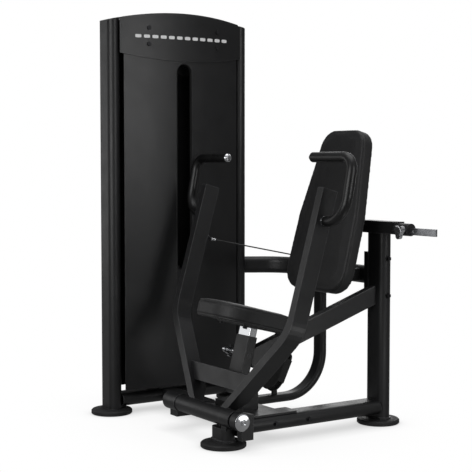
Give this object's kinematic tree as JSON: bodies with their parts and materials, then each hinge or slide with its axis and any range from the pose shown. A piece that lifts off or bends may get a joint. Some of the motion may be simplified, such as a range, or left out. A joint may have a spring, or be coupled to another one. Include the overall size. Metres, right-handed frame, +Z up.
{
  "type": "chest press machine",
  "caption": "Seated chest press machine with a weight-stack tower, leaning press arms, upholstered seat and back pad, and cable drive.",
  "frame": {"origin": "middle of the footprint at floor level", "axes": "+Z up; the seated user faces -Y; the weight tower stands on the -X side"},
  "size_m": [1.138, 0.886, 1.505],
  "materials": {
    "powder_coat": "satin charcoal powder coat",
    "panel_coat": "smooth satin charcoal sheet metal",
    "vinyl": "fine-grained black upholstery vinyl",
    "rubber": "matt black moulded rubber",
    "chrome": "polished",
    "steel": "brushed zinc-plated steel",
    "cast_iron": "black-painted plate steel",
    "nylon": "moulded black nylon"
  },
  "bodies": {
    "frame": {"tower_front_upright": "powder_coat", "tower_rear_upright": "powder_coat", "tower_top_beam": "powder_coat", "tower_base_tube": "powder_coat", "header_panel": "panel_coat", "header_screws": "steel", "tower_top_cap": "panel_coat", "front_shroud": "panel_coat", "slot_trim": "rubber", "rear_shroud": "panel_coat", "foot_discs": "rubber", "guide_rods": "chrome", "stack_buffers": "rubber", "resting_plates": "cast_iron", "main_beam": "powder_coat", "frame_bolts": "steel", "crossbar": "powder_coat", "link_tube": "powder_coat", "front_post": "powder_coat", "pivot_bracket": "powder_coat", "left_pivot_block": "powder_coat", "pivot_shaft": "chrome", "pivot_end_disc": "chrome", "return_cable": "steel", "pulley_mounts": "powder_coat", "pulley_guard": "nylon", "spine_tube": "powder_coat", "cross_tube": "powder_coat", "rear_upright": "powder_coat", "top_bar": "powder_coat", "back_bracket": "powder_coat", "back_pad": "vinyl", "seat_rail": "powder_coat", "seat_post_sleeve": "powder_coat"},
    "press_arms": {"pivot_tube": "powder_coat", "pivot_bushes": "steel", "left_press_arm": "powder_coat", "right_press_arm": "powder_coat", "foot_bar": "powder_coat", "handle_tubes": "powder_coat", "hand_grips": "rubber", "grip_caps": "chrome", "handle_collars": "chrome", "cable_anchor": "steel"},
    "stack": {"lifted_plates": "cast_iron", "head_plate": "cast_iron", "selector_stem": "steel", "stack_cable": "steel"},
    "selector": {"selector_pin": "nylon"},
    "cable_run": {"drive_cable": "steel"},
    "rear_wheel": {"rear_pulley": "nylon"},
    "guard_wheel": {"guard_pulley": "nylon"},
    "lower_wheel": {"tower_lower_pulley": "nylon"},
    "top_inner_wheel": {"top_inner_pulley": "nylon"},
    "top_outer_wheel": {"top_outer_pulley": "nylon"},
    "seat": {"seat_carriage": "chrome", "seat_pad": "vinyl"},
    "pop_pin": {"seat_pop_pin": "chrome"},
    "slide_bar": {"adjuster_bar": "steel"},
    "star_knob": {"adjuster_knob": "chrome"}
  },
  "joints": [
    {"name": "press_pivot", "type": "hinge", "parent": "frame", "child": "press_arms", "pos_m": [0.0815, -0.303, 0.1], "axis": [1, 0, 0], "range_deg": [0, 35]},
    {"name": "stack_lift", "type": "slide", "parent": "frame", "child": "stack", "axis": [0, 0, 1], "range_m": [0, 0.354], "deforming": ["stack_cable"]},
    {"name": "cable_feed", "type": "slide", "parent": "frame", "child": "cable_run", "axis": [0, -0.9946, 0.1034], "range_m": [0, 0.368], "deforming": ["drive_cable"]},
    {"name": "rear_pulley_spin", "type": "hinge", "parent": "frame", "child": "rear_wheel", "pos_m": [-0.1246, 0.29064, 0.53831], "axis": [0.9272, -0.3366, 0.1642], "range_deg": [0, 475]},
    {"name": "guard_pulley_spin", "type": "hinge", "parent": "frame", "child": "guard_wheel", "pos_m": [-0.1515, 0.13885, 0.13615], "axis": [0, -0.8988, 0.4384], "range_deg": [0, 475]},
    {"name": "lower_pulley_spin", "type": "hinge", "parent": "frame", "child": "lower_wheel", "pos_m": [-0.4915, 0.12, 0.125], "axis": [0, -1, 0], "range_deg": [0, 739]},
    {"name": "top_inner_spin", "type": "hinge", "parent": "frame", "child": "top_inner_wheel", "pos_m": [-0.49716, -0.04437, 1.32], "axis": [-0.9913, -0.1317, 0], "range_deg": [0, 475]},
    {"name": "top_outer_spin", "type": "hinge", "parent": "frame", "child": "top_outer_wheel", "pos_m": [-0.51334, 0.07737, 1.32], "axis": [-0.9913, -0.1317, 0], "range_deg": [0, 475]},
    {"name": "selector_pull", "type": "slide", "parent": "stack", "child": "selector", "axis": [1, 0, 0], "range_m": [0, 0.07]},
    {"name": "seat_height", "type": "slide", "parent": "frame", "child": "seat", "axis": [0, 0.2588, 0.9659], "range_m": [0, 0.09]},
    {"name": "pop_pin_pull", "type": "slide", "parent": "frame", "child": "pop_pin", "axis": [-1, 0, 0], "range_m": [0, 0.012]},
    {"name": "adjuster_slide", "type": "slide", "parent": "frame", "child": "slide_bar", "axis": [1, 0, 0], "range_m": [-0.04, 0.05]},
    {"name": "adjuster_knob_turn", "type": "hinge", "parent": "frame", "child": "star_knob", "pos_m": [0.3495, 0.355, 0.705], "axis": [0, -1, 0], "continuous": true}
  ],
  "couplings": [
    {"joint": "stack_lift", "follows": "press_pivot", "m_per_rad": 0.5766},
    {"joint": "cable_feed", "follows": "press_pivot", "m_per_rad": 0.6002},
    {"joint": "rear_pulley_spin", "follows": "press_pivot", "ratio": 13.409},
    {"joint": "guard_pulley_spin", "follows": "press_pivot", "ratio": 13.409},
    {"joint": "top_inner_spin", "follows": "press_pivot", "ratio": 13.409},
    {"joint": "top_outer_spin", "follows": "press_pivot", "ratio": 13.409},
    {"joint": "lower_pulley_spin", "follows": "press_pivot", "ratio": 20.967}
  ]
}
